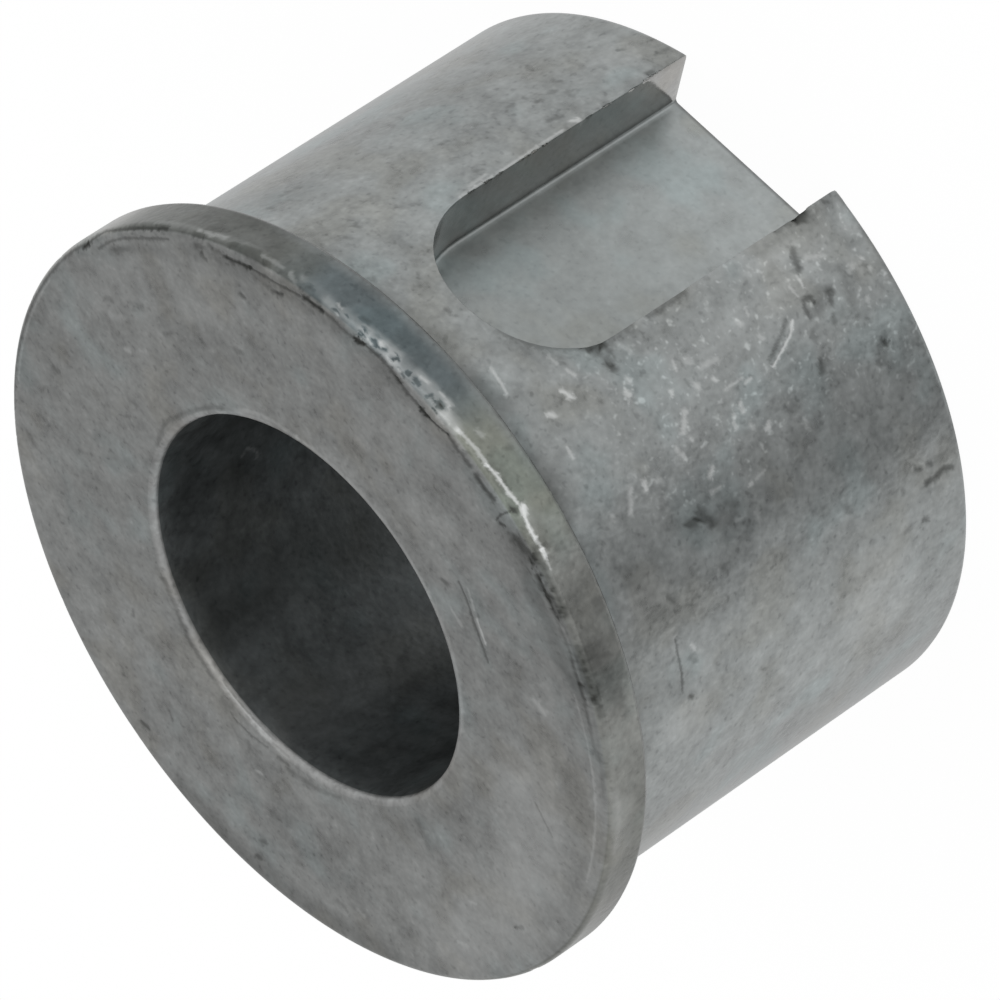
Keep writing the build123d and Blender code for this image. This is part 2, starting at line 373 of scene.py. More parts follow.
barrel_marks = (
    # the slot's mouth
    (0.32, 0.03, -0.55, ((-16.3, 12.1), (-16.4, 11.48), (-16.3, 10.70), (-16.1, 9.80))),
    (0.3, 0.05, -0.5, ((-16.0, 3.97), (-15.9, 3.29), (-15.9, 2.71))),
    (0.5, 0.1, -1.1, ((-16.2, 2.7), (-16.2, 2.3))),
    (0.5, 0.05, -0.55, ((-15.4, 15.52), (-15.5, 14.99), (-15.2, 14.67))),
    (0.2, 0.01, -0.4, ((-6.0, 18.5), (-8.4, 18.05), (-10.5, 17.6), (-12.8, 16.83), (-14.8, 15.8))),
    (0.35, 0.02, -0.45, ((-19.0, 15.23), (-19.6, 15.08))),
    (0.5, 0.0, -0.3, ((-15.4, 13.54), (-16.6, 13.11))),
    (0.22, 0.02, 0.35, ((-16.9, 14.18), (-19.1, 13.88))),
    # painted highlights along the worn left edge of the slot, and on the burr beside it
    (0.16, 0.015, 0.5, ((16.1, 14.2), (16.2, 12.6), (16.1, 11.48), (16.2, 10.17), (16.3, 7.81))),
    (0.26, -0.04, 0.7, ((16.9, 7.05), (16.2, 6.84))),
    (0.2, 0.1, -0.5, ((16.0, 12.0), (15.9, 11.8))),
    (0.2, 0.1, -0.4, ((16.0, 9.1), (15.9, 8.9))),
    (0.2, 0.08, -0.4, ((16.0, 5.3), (15.9, 5.2))),
    (0.3, 0.03, -0.45, ((19.4, 7.65), (18.7, 7.06))),
    (0.25, 0.03, -0.6, ((16.9, 2.31), (16.6, 2.02))),
    (0.2, 0.02, 0.4, ((16.9, 13.33), (17.1, 12.30))),
    (0.2, 0.02, -0.35, ((18.9, 12.50), (18.1, 12.10))),
    (0.3, 0.02, -0.35, ((18.9, 0.86), (18.6, 0.38))),
    # the barrel beyond the slot's right edge
    (0.34, 0.03, -0.75, ((-19.7, 3.85), (-21.2, 4.06), (-22.8, 4.26))),
    (0.12, 0.015, 0.55, ((-23.1, 4.47), (-25.1, 4.51))),
    (0.14, 0.015, 0.35, ((-24.0, 5.13), (-25.7, 5.03))),
    (0.24, 0.03, -0.7, ((-29.2, 5.07), (-27.6, 5.03), (-26.6, 4.85), (-26.7, 4.50), (-27.8, 4.44))),
    (0.36, 0.04, -0.8, ((-27.4, 3.40), (-27.6, 3.38))),
    (0.24, 0.04, -0.6, ((-28.7, 3.63), (-29.3, 3.69))),
    (0.3, 0.03, -0.45, ((-31.1, 3.97), (-31.7, 4.03))),
    (0.35, 0.02, -0.4, ((-31.5, 5.39), (-32.2, 5.35))),
    (0.25, 0.01, 0.35, ((-21.7, 3.49), (-22.8, 2.73))),
    (0.2, 0.01, 0.6, ((-26.3, 1.07), (-26.5, 1.01))),
    (0.25, 0.01, 0.35, ((-26.7, 2.00), (-26.3, 1.65))),
    (0.2, 0.01, 0.4, ((-27.8, 0.98), (-28.2, 1.02))),
    (0.2, 0.01, 0.35, ((-31.4, 1.91), (-31.8, 1.94))),
    (0.15, 0.03, 0.85, ((-28.2, 5.93), (-29.7, 6.40), (-30.6, 6.96), (-31.4, 7.53), (-32.1, 7.99))),
    (0.2, 0.03, -0.55, ((-27.8, 6.23), (-29.4, 7.03), (-31.2, 8.00))),
    (0.36, 0.04, -0.65, ((-35.5, 5.64), (-36.7, 5.81))),
    (0.25, 0.04, -0.8, ((-38.3, 2.14), (-38.9, 2.13))),
    (0.3, 0.03, -0.5, ((-40.3, 2.95), (-40.9, 2.87))),
    (0.4, 0.01, -0.35, ((-38.7, 8.41), (-38.9, 8.06))),
    (0.5, 0.0, -0.25, ((-36.0, 4.21), (-36.7, 4.02))),
    (0.3, 0.03, -0.65, ((-61.1, 2.35), (-61.2, 1.84), (-60.7, 1.35), (-61.2, 0.86))),
    (0.24, 0.04, -0.6, ((-58.0, 2.83), (-58.3, 2.59))),
    (0.2, 0.03, -0.5, ((-58.1, 2.12), (-58.6, 1.97))),
    (0.28, 0.04, -0.7, ((-66.8, 2.83), (-67.3, 2.66))),
    (0.25, 0.02, -0.4, ((-59.7, 3.87), (-60.2, 3.78))),
    (0.25, 0.01, 0.4, ((-41.5, 7.76), (-42.3, 7.84))),
    (0.3, 0.0, -0.3, ((-56.8, 7.17), (-57.7, 7.05))),
    (0.3, 0.02, -0.35, ((-66.9, 4.01), (-66.8, 3.75))),
    # bright flecks on the barrel: small dents whose brightness is partly a painted glint
    (0.22, 0.02, 0.9, ((-18.4, 17.90), (-20.0, 17.69))),
    (0.3, 0.02, 0.75, ((-23.5, 15.24), (-24.1, 15.19))),
    (0.25, 0.01, 0.4, ((-22.0, 14.86), (-22.5, 14.79))),
    (0.2, 0.02, 0.7, ((-26.9, 13.29), (-27.4, 13.29))),
    (0.14, 0.01, 0.35, ((-23.5, 12.36), (-25.0, 12.47))),
    (0.24, 0.02, 0.6, ((-30.4, 13.21), (-32.9, 13.81))),
    (0.2, 0.01, 0.4, ((-33.9, 13.64), (-34.6, 13.59))),
    (0.22, 0.01, 0.5, ((-34.3, 14.53), (-36.0, 14.37))),
    (0.2, 0.02, 0.65, ((-28.7, 11.03), (-29.2, 11.02))),
    (0.25, 0.01, 0.5, ((-28.1, 12.02), (-28.7, 11.97))),
    (0.16, 0.01, 0.4, ((-31.0, 10.78), (-31.0, 9.77))),
    (0.17, 0.01, 0.5, ((-32.0, 9.74), (-31.8, 9.38))),
    (0.22, 0.02, 0.7, ((-34.0, 10.47), (-35.2, 10.52))),
    (0.2, 0.01, 0.55, ((-34.8, 11.06), (-36.5, 11.28))),
    (0.22, 0.02, 0.85, ((-38.4, 9.55), (-39.2, 9.76))),
    (0.2, 0.01, 0.4, ((-37.3, 10.48), (-37.8, 10.45))),
    (0.24, 0.02, 0.8, ((-39.5, 13.28), (-40.4, 13.62))),
    (0.24, 0.02, 0.8, ((-35.5, 16.81), (-36.8, 16.88))),
    (0.2, 0.01, 0.35, ((-36.5, 16.21), (-36.5, 16.02))),
    (0.22, 0.01, 0.5, ((-35.3, 17.57), (-38.5, 18.13))),
    (0.18, 0.02, 0.8, ((-44.9, 11.79), (-44.8, 11.65))),
    (0.16, 0.01, 0.35, ((-44.6, 11.42), (-44.2, 10.80))),
    (0.2, 0.01, 0.45, ((-42.6, 13.82), (-42.5, 13.35))),
    (0.17, 0.01, 0.5, ((-25.4, 19.32), (-27.2, 19.36))),
    (0.16, 0.01, 0.45, ((-16.3, 17.04), (-17.6, 16.90))),
    (0.16, 0.01, 0.35, ((-23.0, 7.68), (-24.1, 7.75))),
    (0.25, 0.01, 0.35, ((-23.9, 8.41), (-24.5, 8.29))),
    (0.2, 0.01, 0.35, ((-27.5, 7.86), (-28.0, 7.78))),
    (0.17, 0.015, 0.6, ((-10.1, 20.03), (-12.4, 20.11), (-14.4, 20.22))),
    (0.24, 0.02, 0.85, ((-20.1, 19.13), (-20.7, 18.98))),
    (0.18, 0.01, 0.35, ((-13.1, 17.36), (-14.8, 17.26))),
    (0.3, 0.01, 0.3, ((-24.3, 11.81), (-25.0, 11.61))),
    (0.25, 0.01, 0.3, ((-26.5, 11.34), (-26.8, 10.41))),
    (0.2, 0.01, 0.35, ((-37.0, 19.08), (-37.7, 19.10))),
    (0.22, 0.01, 0.35, ((-48.4, 13.19), (-48.5, 12.62))),
    (0.25, 0.01, 0.3, ((-48.8, 12.04), (-50.3, 11.98))),
    # dark spots on the barrel and along the slot
    (0.45, 0.03, -0.65, ((-44.5, 15.61), (-45.0, 15.25))),
    (0.4, 0.03, -0.6, ((-43.8, 14.93), (-45.2, 14.66), (-46.4, 14.34))),
    (2.0, 0.0, -0.22, ((-44.2, 15.44), (-47.5, 12.80))),
    (0.16, 0.02, -0.3, ((-26.7, 12.33), (-28.0, 12.30))),
    (0.4, 0.0, -0.25, ((-45.0, 13.31), (-45.9, 12.95))),
    (0.16, 0.02, -0.55, ((-59.0, 18.16), (-61.5, 18.17), (-64.5, 18.16), (-67.6, 18.24))),
    (0.22, 0.04, -0.8, ((-69.4, 17.79), (-70.0, 17.68))),
    (0.22, 0.01, 0.5, ((-61.5, 17.29), (-62.2, 17.21))),
    (0.3, 0.02, -0.4, ((-52.1, 17.91), (-53.2, 17.71))),
    (0.3, 0.01, -0.3, ((-52.9, 14.75), (-53.7, 14.46))),
    (0.3, 0.02, -0.35, ((-63.0, 17.51), (-64.3, 17.21))),
    (0.28, 0.03, -0.4, ((22.7, 18.67), (21.8, 18.64))),
    (0.26, 0.02, -0.3, ((21.6, 19.55), (20.8, 19.46))),
    (0.24, 0.03, -0.5, ((1.1, 19.57), (0.5, 19.54))),
    (0.24, 0.02, -0.35, ((6.9, 19.71), (6.6, 19.58))),
    (0.24, 0.02, -0.3, ((12.0, 20.71), (11.5, 20.73))),
    (0.3, 0.02, -0.3, ((38.4, 19.42), (37.5, 19.44))),
    (0.3, 0.01, -0.25, ((39.7, 18.23), (39.1, 17.42))),
    (0.26, 0.02, -0.35, ((27.8, 11.94), (27.8, 11.56))),
    (0.26, 0.02, -0.35, ((24.0, 6.07), (23.9, 5.85))),
    (0.26, 0.02, -0.35, ((22.5, 5.64), (21.2, 5.73))),
    (0.24, 0.02, -0.35, ((25.6, 5.32), (25.3, 5.16))),
    (0.26, 0.03, -0.45, ((24.4, 6.95), (24.1, 6.79))),
    (0.24, 0.02, -0.3, ((26.8, 7.04), (26.1, 7.09))),
    (0.22, 0.02, -0.3, ((26.7, 8.01), (26.3, 7.83))),
    (0.26, 0.02, -0.3, ((22.9, 3.24), (22.1, 3.25))),
    (0.24, 0.02, -0.3, ((24.1, 1.80), (23.6, 1.69))),
    (0.6, 0.0, -0.2, ((31.0, 0.92), (28.9, 0.79))),
    (0.24, 0.02, -0.3, ((32.9, 4.99), (31.1, 5.15))),
    (0.24, 0.02, -0.3, ((35.6, 3.47), (35.0, 3.51))),
    (0.5, 0.0, -0.25, ((31.4, 7.78), (28.9, 8.00))),
    (0.5, 0.02, -0.28, ((-14.5, 15.59), (-15.7, 15.36), (-16.8, 15.16))),
    (0.7, 0.0, -0.3, ((-15.7, 14.50), (-16.0, 13.81), (-16.0, 13.21))),
    (0.4, 0.03, -0.45, ((-18.6, 15.06), (-19.8, 15.07))),
    (0.35, 0.02, -0.35, ((-15.6, 14.84), (-17.3, 14.79))),
    (0.45, 0.0, -0.2, ((-14.6, 2.18), (-16.2, 2.03), (-17.9, 2.11))),
    (0.35, 0.0, -0.2, ((-15.3, 1.80), (-16.9, 1.65))),
    (0.5, 0.0, -0.25, ((-16.8, 1.04), (-20.0, 1.25))),
    (0.6, 0.0, 0.16, ((-18.9, 3.78), (-19.0, 5.38), (-18.9, 6.64))),
    (0.5, 0.0, 0.2, ((-25.9, 1.37), (-27.7, 1.34), (-25.7, 1.65))),
    (0.45, 0.0, -0.3, ((-28.2, 2.48), (-31.1, 2.75))),
    (0.4, 0.0, -0.25, ((-36.9, 1.81), (-38.1, 2.50))),
    (0.35, 0.0, -0.45, ((-17.0, 0.1), (-30.0, 0.1), (-45.0, 0.1), (-58.0, 0.15))),
    (0.5, 0.0, 0.14, ((-16.2, 4.4), (-16.2, 9.6))),
    (0.4, 0.0, 0.14, ((-16.4, 12.4), (-16.0, 13.8))),
    # broad stains of the barrel, with rows of painted light and painted shade among them
    (1.2, 0.0, -0.16, ((-16.0, 14.2), (-14.0, 16.6), (-9.0, 18.2))),
    (1.0, 0.0, -0.16, ((-18.4, 13.9), (-17.2, 15.6))),
    (2.4, 0.0, -0.1, ((-27.0, 1.5), (-30.0, 3.6))),
    (0.6, 0.0, -0.25, ((-27.0, 3.9), (-29.5, 4.6))),
    (0.5, 0.0, -0.22, ((-21.5, 1.6), (-24.0, 0.9))),
    (0.5, 0.0, -0.2, ((-24.0, 2.9), (-26.0, 2.4))),
    (1.5, 0.0, -0.12, ((-38.0, 5.6), (-35.0, 6.2))),
    # the light rows at turns -25, -40.5, -57.5 and -72 to -79 are painted light: lighter bands along the
    # barrel
    (3.5, 0.0, 0.07, ((-77.0, 5.0), (-77.0, 11.0))),
    (3.0, 0.0, 0.06, ((-76.0, 17.5), (-76.0, 18.5))),
    (2.0, 0.0, 0.08, ((-40.5, 5.0), (-40.5, 18.0))),
    (2.0, 0.0, 0.1, ((-25.0, 5.5), (-25.0, 13.5))),
    (3.0, 0.0, 0.12, ((-79.0, 6.0), (-72.0, 6.0))),
    (1.6, 0.0, 0.12, ((-57.5, 1.6), (-57.5, 2.4))),
    (1.6, 0.0, -0.14, ((-57.5, 5.5), (-50.0, 6.2))),
    (1.8, 0.0, -0.16, ((-66.0, 18.4), (-64.0, 20.8))),
    (1.8, 0.0, 0.14, ((-73.0, 17.8), (-73.0, 18.6))),
    (2.0, 0.0, -0.1, ((-88.0, 18.0), (-93.0, 18.5))),
    (1.6, 0.0, 0.14, ((23.0, 1.8), (24.0, 2.6))),
    (5.0, 0.0, -0.19, ((41.0, 5.0), (43.0, 18.0))),
    (1.4, 0.0, 0.12, ((-33.0, 13.4), (-33.0, 14.6))),
    (1.6, 0.0, -0.12, ((30.0, 18.0), (42.0, 18.6))),
    # painted shade on the barrel just under the flange
    (1.2, 0.0, -0.2, ((46.0, 20.9), (49.0, 20.9))),
    (1.6, 0.0, 0.34, ((36.0, 21.1), (41.0, 21.1))),
    (2.0, 0.0, 0.08, ((31.0, 6.0), (50.0, 6.0))),
    (1.2, 0.0, -0.14, ((14.0, 18.3), (17.0, 17.8))),
    (1.8, 0.0, 0.3, ((53.5, 21.0), (58.0, 20.6))),
    (1.1, -0.07, 0.0, ((-16.2, 0.6), (-16.4, 2.3))),
    (1.2, 0.0, -0.12, ((-60.0, 1.6), (-62.5, 2.2))),
    # the dark rows at 21.4 to 21.5 mm are painted shade in the corner under the flange
    (2.2, 0.0, -0.4, ((-12.0, 21.5), (-20.0, 21.4), (-30.0, 21.5))),
    (1.8, 0.0, -0.36, ((12.0, 21.5), (0.0, 21.5), (-12.0, 21.5))),
    (1.0, 0.0, -0.34, ((-24.0, 21.4), (-40.0, 21.4))),
    (1.6, 0.0, 0.2, ((-51.0, 20.0), (-50.0, 18.6))),
    (2.2, 0.0, -0.26, ((-62.0, 21.5), (-68.0, 21.4), (-76.0, 21.5))),
    (1.6, 0.0, 0.1, ((-20.5, 1.2), (-22.0, 5.0))),
)
other_marks = (
    # broad stains of the face
    ("face", 1.0, 0.0, -0.3, ((38.0, 18.15), (15.0, 18.1), (0.0, 18.1), (-20.0, 17.9), (-32.0, 18.1))),
    ("face", 1.5, 0.0, -0.36, ((-35.0, 18.1), (-44.0, 17.9), (-54.0, 18.0))),
    ("face", 0.8, 0.0, -0.16, ((-54.0, 18.2), (-65.0, 18.1))),
    ("face", 2.0, 0.0, -0.12, ((-60.0, 12.6), (-60.0, 13.4))),
    ("face", 2.0, 0.0, -0.14, ((24.0, 16.9), (36.0, 16.8))),
    ("face", 2.4, 0.0, 0.12, ((52.0, 16.6), (66.0, 16.8))),
    ("face", 1.2, 0.0, -0.16, ((84.0, 18.2), (96.0, 18.2))),
    ("face", 1.2, 0.0, -0.2, ((-36.0, 17.6), (-46.0, 17.5), (-52.0, 17.7))),
    ("face", 1.4, 0.0, 0.08, ((-72.0, 18.6), (-90.0, 18.7), (-106.0, 18.6))),
    ("face", 1.6, 0.0, -0.32, ((168.0, 18.4), (185.0, 18.4), (212.0, 18.4))),
    ("face", 1.2, 0.0, -0.2, ((-110.0, 11.0), (-130.0, 11.0))),
    ("face", 3.4, 0.0, 0.34, ((-82.0, 14.2), (-100.0, 15.2), (-117.0, 16.5), (-132.0, 16.8))),
    # the rim, and the front edge on the slot's left
    ("rim", 0.18, 0.03, -0.5, (
        (-20.2, 22.02), (-22.6, 22.00), (-26.2, 21.89), (-30.5, 22.03), (-33.8, 22.00),
    )),
    ("rim", 0.25, 0.02, -0.3, ((-21.0, 22.96), (-21.4, 22.64))),
    ("rim", 0.2, 0.02, 0.35, ((-17.3, 23.58), (-18.0, 23.54))),
    ("rim", 0.45, 0.0, -0.3, ((-33.4, 22.08), (-35.7, 21.99))),
    ("rim", 0.25, 0.01, 0.4, ((-40.3, 21.08), (-41.3, 20.83))),
    ("face", 0.24, 0.05, -0.8, ((28.8, 18.29), (26.4, 18.28), (24.0, 18.31))),
    ("face", 0.18, 0.04, -0.5, ((24.0, 18.31), (21.6, 18.26), (19.1, 18.21), (16.1, 18.27), (14.2, 18.35))),
    ("rim", 0.22, -0.01, 0.3, ((34.4, 24.19), (31.9, 24.21), (29.4, 24.12))),
    ("face", 0.2, -0.01, 0.25, ((22.3, 19.00), (20.4, 19.00), (18.3, 18.98))),
    ("face", 0.2, 0.0, 0.25, ((20.4, 18.64), (19.8, 18.67))),
    ("face", 0.2, 0.0, 0.25, ((16.7, 18.95), (15.2, 18.73))),
    ("face", 0.3, 0.0, 0.2, ((14.8, 19.01), (14.0, 18.92))),
    ("face", 0.24, 0.04, -0.4, ((34.9, 18.91), (33.3, 18.92))),
    ("face", 0.4, 0.04, -0.4, ((34.9, 18.42), (33.8, 18.44))),
    ("face", 0.22, 0.04, -0.4, ((31.8, 18.64), (31.5, 18.51))),
    ("face", 0.2, 0.04, -0.35, ((34.1, 18.07), (33.5, 17.81))),
    ("face", 0.24, 0.04, -0.35, ((30.7, 18.47), (29.7, 18.41))),
    ("face", 0.24, 0.05, -0.55, ((27.8, 18.92), (26.8, 18.96))),
    ("face", 0.22, 0.04, -0.35, ((21.2, 18.87), (20.5, 18.87))),
    ("face", 0.18, 0.03, -0.3, ((18.4, 18.84), (17.6, 18.89))),
    ("face", 0.2, 0.03, -0.35, ((18.8, 17.70), (17.8, 17.76))),
    ("face", 0.2, 0.02, -0.25, ((26.9, 16.58), (26.3, 16.48))),
    ("face", 0.3, 0.02, -0.3, ((13.7, 18.89), (13.1, 18.86))),
    ("rim", 1.3, 0.0, -0.3, ((-49.8, 24.14), (-54.8, 24.29))),
    ("rim", 1.5, 0.0, -0.4, ((-50.3, 23.35), (-56.4, 23.36))),
    ("rim", 0.35, 0.0, -0.15, ((-54.9, 24.06), (-58.5, 24.44))),
    ("rim", 0.45, 0.0, -0.2, ((-58.5, 23.02), (-60.6, 22.90))),
    ("rim", 1.2, 0.0, -0.16, ((-58.0, 23.3), (-66.3, 23.4), (-69.8, 22.6))),
    ("rim", 0.3, 0.0, -0.25, ((-60.6, 24.50), (-69.8, 24.77), (-78.4, 24.92))),
    # painted shade in the corner under the flange
    ("rim", 1.2, 0.0, -0.2, ((1.6, 21.04), (4.6, 20.97))),
    ("rim", 0.8, 0.0, -0.2, ((-10.9, 21.59), (-7.9, 21.30))),
    ("rim", 0.25, 0.04, -0.4, ((13.6, 24.4), (12.9, 24.3))),
    # the face
    ("face", 0.16, 0.03, -0.6, (
        (-36.4, 12.63), (-40.0, 12.58), (-45.4, 12.40), (-50.7, 12.36), (-54.6, 12.41),
    )),
    ("face", 0.15, 0.03, 0.8, ((-44.9, 12.68), (-47.6, 12.63), (-50.1, 12.63))),
    ("face", 0.15, 0.02, 0.35, ((-38.4, 13.00), (-42.7, 12.77))),
    ("face", 0.3, 0.03, -0.55, ((-35.1, 11.51), (-36.2, 11.65))),
    ("face", 0.2, 0.01, 0.35, ((-42.7, 11.15), (-46.5, 11.36))),
    ("face", 0.28, 0.04, -0.75, ((156.9, 17.74), (158.1, 17.59))),
    ("face", 0.28, 0.03, -0.5, ((-175.9, 16.50), (-175.1, 16.40))),
    ("face", 0.3, 0.03, -0.5, ((-176.4, 17.74), (-175.6, 17.64))),
    ("face", 0.6, 0.0, -0.2, ((-174.0, 14.20), (-170.1, 13.86))),
    ("face", 0.5, 0.0, -0.3, ((-124.1, 10.90), (-124.0, 11.72), (-125.6, 12.40))),
    ("face", 0.25, 0.01, 0.35, ((-59.9, 14.96), (-61.9, 15.52))),
    ("face", 0.12, 0.02, -0.35, ((-83.4, 14.65), (-86.0, 15.39), (-87.6, 15.93))),
    ("face", 0.3, 0.03, -0.45, ((89.3, 16.63), (89.3, 16.42))),
    ("face", 0.25, 0.02, -0.35, ((32.1, 13.32), (30.6, 13.36))),
    ("face", 0.25, 0.02, -0.4, ((27.3, 16.59), (26.5, 16.46))),
    ("face", 0.25, 0.02, -0.3, ((30.1, 15.89), (29.3, 15.75))),
    ("face", 0.25, 0.02, -0.3, ((52.9, 13.82), (50.6, 13.81))),
    ("face", 0.25, 0.02, -0.35, ((56.1, 15.40), (55.2, 15.30))),
    ("face", 0.3, 0.02, -0.35, ((54.6, 18.14), (51.5, 18.01))),
    ("face", 0.25, 0.02, -0.35, ((77.5, 12.08), (77.3, 11.88))),
    ("face", 0.25, 0.03, -0.5, ((19.9, 17.65), (17.8, 17.70))),
    ("face", 0.3, 0.03, -0.5, ((3.3, 18.25), (2.2, 18.33))),
    ("face", 0.2, 0.01, 0.4, ((179.7, 12.41), (180.9, 12.30))),
    ("face", 0.4, 0.0, -0.3, ((107.4, 17.89), (108.7, 17.53))),
    ("face", 0.3, 0.02, -0.3, ((-108.1, 13.64), (-107.7, 14.02))),
    ("face", 0.25, 0.01, 0.35, ((67.7, 13.96), (66.9, 13.78))),
    ("face", 0.4, 0.01, 0.25, ((65.3, 15.54), (62.9, 15.22))),
    # the bore's mouth
    ("face", 0.3, 0.02, -0.4, ((128.7, 9.93), (138.3, 9.92), (146.5, 10.08), (153.1, 10.07), (158.1, 10.03))),
    ("face", 0.5, 0.0, -0.25, ((163.2, 10.51), (165.7, 10.52))),
    ("face", 0.16, 0.02, -0.45, ((169.0, 10.72), (174.4, 10.60), (180.7, 10.34))),
    ("face", 0.25, 0.02, -0.5, ((-174.9, 10.35), (-172.0, 10.30))),
    ("face", 0.3, 0.02, -0.4, ((-171.2, 10.57), (-165.9, 10.49), (-159.8, 10.42), (-153.1, 10.25))),
    ("face", 0.25, 0.02, -0.4, (
        (81.5, 10.06), (72.7, 10.31), (65.0, 10.22), (56.5, 10.10), (47.0, 10.14), (43.5, 10.05),
    )),
    # a burr on the bore's mouth, with a painted highlight on it
    ("face", 0.2, -0.02, 0.5, ((161.6, 9.77), (166.8, 9.74), (172.6, 9.71), (177.7, 9.85), (181.1, 9.80))),
    ("face", 0.2, 0.0, 0.35, ((-176.0, 9.96), (-173.0, 9.96))),
    ("face", 0.16, 0.0, 0.35, ((46.9, 9.84), (43.3, 9.86))),
    ("face", 0.22, 0.0, 0.28, (
        (15.5, 10.0), (0.0, 10.0), (-20.0, 10.0), (-40.0, 10.0), (-60.0, 10.0), (-80.0, 10.0),
    )),
    ("face", 0.22, 0.0, 0.3, ((36.9, 10.08), (30.5, 10.23), (24.7, 10.16), (19.8, 10.07), (15.5, 10.03))),
    # the bore's wall
    ("bore", 2.6, 0.0, 0.12, ((182.0, 23.5), (182.0, 14.0))),
    ("bore", 3.2, 0.0, -0.45, ((142.0, 23.0), (149.0, 13.0))),
    ("bore", 0.14, 0.02, 0.3, (
        (107.0, 18.97), (105.5, 18.71), (107.0, 18.28), (109.7, 18.01), (110.9, 18.15),
    )),
)
mark_step_mm = 0.07
worn_roll = 0.32 * mm
roll_fall = 4.5


def rolled(turn):
    """The front edge's radius at a turn: rolled over by wear by the slot, and less to either side."""
    facing = 0.5 + 0.5 * math.cos(math.radians(min(180, abs(turn) * roll_fall)))
    return flange_front_round + worn_roll * facing


def front_profile(turn, radius):
    """The height of the flange's front at that distance from the axis."""
    curve = rolled(turn)
    into = radius - (flange_radius - curve)
    if into <= 0:
        return overall_length
    return overall_length - curve + math.sqrt(max(0, curve ** 2 - into ** 2))


def mark_place(surface, turn, second):
    """The point in space of one point of a mark."""
    radius = {"barrel": barrel_radius, "rim": flange_radius, "bore": bore_radius}.get(surface, second * mm)
    height = front_profile(turn, radius) if surface == "face" else second * mm
    angle = math.radians(turn)
    return Vector((radius * math.sin(angle), -radius * math.cos(angle), height))


def mark_line(surface, points):
    """Points along a mark, close together."""
    line = []
    for (turn, second), (next_turn, next_second) in zip(points, points[1:]):
        length = (mark_place(surface, turn, second) - mark_place(surface, next_turn, next_second)).length
        pieces = max(1, round(length / (mark_step_mm * mm)))
        for piece in range(pieces):
            share = piece / pieces
            part_turn = turn + (next_turn - turn) * share
            part_second = second + (next_second - second) * share
            line.append(mark_place(surface, part_turn, part_second))
    line.append(mark_place(surface, *points[-1]))
    return line


# Small nicks are scattered over the sides that the photograph doesn't show, and also over half of the face
# and the slot's left edge. Finer specks lie on the worn front edge.
scatter = random.Random(11)
far_side = (60, 250)
worn_part = (-13, 8)
slot_edge_turn = 15.9
marks = [*edge_marks, *(("barrel", *mark) for mark in barrel_marks), *other_marks]
for nick in range(70):
    turn = scatter.uniform(*far_side)
    height = scatter.uniform(0.6, barrel_length / mm - 0.6)
    length = scatter.uniform(0.1, 0.8)
    lean = scatter.uniform(-2, 2)
    tone = scatter.choice((-0.5, -0.35, -0.3, 0.3, 0.45))
    width = scatter.uniform(0.14, 0.35)
    marks.append(("barrel", width, 0.03, tone, ((turn, height), (turn + lean, height + length))))
for nick in range(16):
    height = scatter.uniform(0.8, 13.5)
    width = scatter.uniform(0.14, 0.28)
    marks.append(("barrel", width, 0.07, -0.1, ((slot_edge_turn, height), (slot_edge_turn, height + 0.2))))
for nick in range(16):
    turn, radius = scatter.uniform(*far_side), scatter.uniform(10.5, 18.5)
    width, tone = scatter.uniform(0.14, 0.3), scatter.choice((-0.4, -0.3, 0.3))
    marks.append(("face", width, 0.02, tone, ((turn, radius), (turn + 1.5, radius + 0.2))))
for nick in range(12):
    turn = scatter.uniform(*far_side)
    marks.append(("rim", scatter.uniform(0.2, 0.4), 0.05, -0.3, ((turn, 24.2), (turn + 1.0, 24.25))))
for nick in range(34):
    turn, radius = scatter.uniform(*worn_part), scatter.uniform(18.62, 19.0)
    tone = scatter.choice((-0.5, -0.35, 0.35))
    marks.append(("face", scatter.uniform(0.08, 0.16), 0.02, tone, ((turn, radius), (turn + 0.4, radius))))

# A mark fades out at its sides, so it is drawn wider than its row says and pressed in less deeply. The mesh
# is made finer only where narrow marks lie.
spread = 1.8
press_share = 0.7
widest_narrow = 1.4 * mm
mark_margin = 0.03 * mm
shortest_edge = 0.07 * mm
lines = [
    (spread * width * mm, press_share * depth * mm, tone, mark_line(surface, points))
    for surface, width, depth, tone, points in marks
]
fine = [
    (place, width) for width, depth, tone, line in lines if width < widest_narrow for place in line
]
finder = KDTree(len(fine))
for index, (place, width) in enumerate(fine):
    finder.insert(place, index)
finder.balance()
for cut in range(3):
    near = []
    for edge in body.edges:
        length = edge.calc_length()
        middle = (edge.verts[0].co + edge.verts[1].co) / 2
        place, index, distance = finder.find(middle)
        width = fine[index][1]
        is_near = distance < 0.5 * width + 0.5 * length + mark_margin
        if is_near and length > max(shortest_edge, 0.3 * width):
            near.append(edge)
    bmesh.ops.subdivide_edges(body, edges=near, cuts=1, use_grid_fill=True)

body.normal_update()
body.verts.index_update()
body.verts.ensure_lookup_table()

# The rolled front edge is shaped first, then each mark is pressed in along the metal's own normal.
for vert in body.verts:
    radius = math.hypot(vert.co.x, vert.co.y)
    turn = math.degrees(math.atan2(vert.co.x, -vert.co.y))
    curve = rolled(turn)
    out, up = radius - (flange_radius - curve), vert.co.z - (overall_length - curve)
    if out > 0 and up > 0 and math.hypot(out, up) > curve:
        fit = curve / math.hypot(out, up)
        new_radius = flange_radius - curve + out * fit
        vert.co.x *= new_radius / radius
        vert.co.y *= new_radius / radius
        vert.co.z = overall_length - curve + up * fit
body.normal_update()

skin = KDTree(len(body.verts))
for vert in body.verts:
    skin.insert(vert.co, vert.index)
skin.balance()
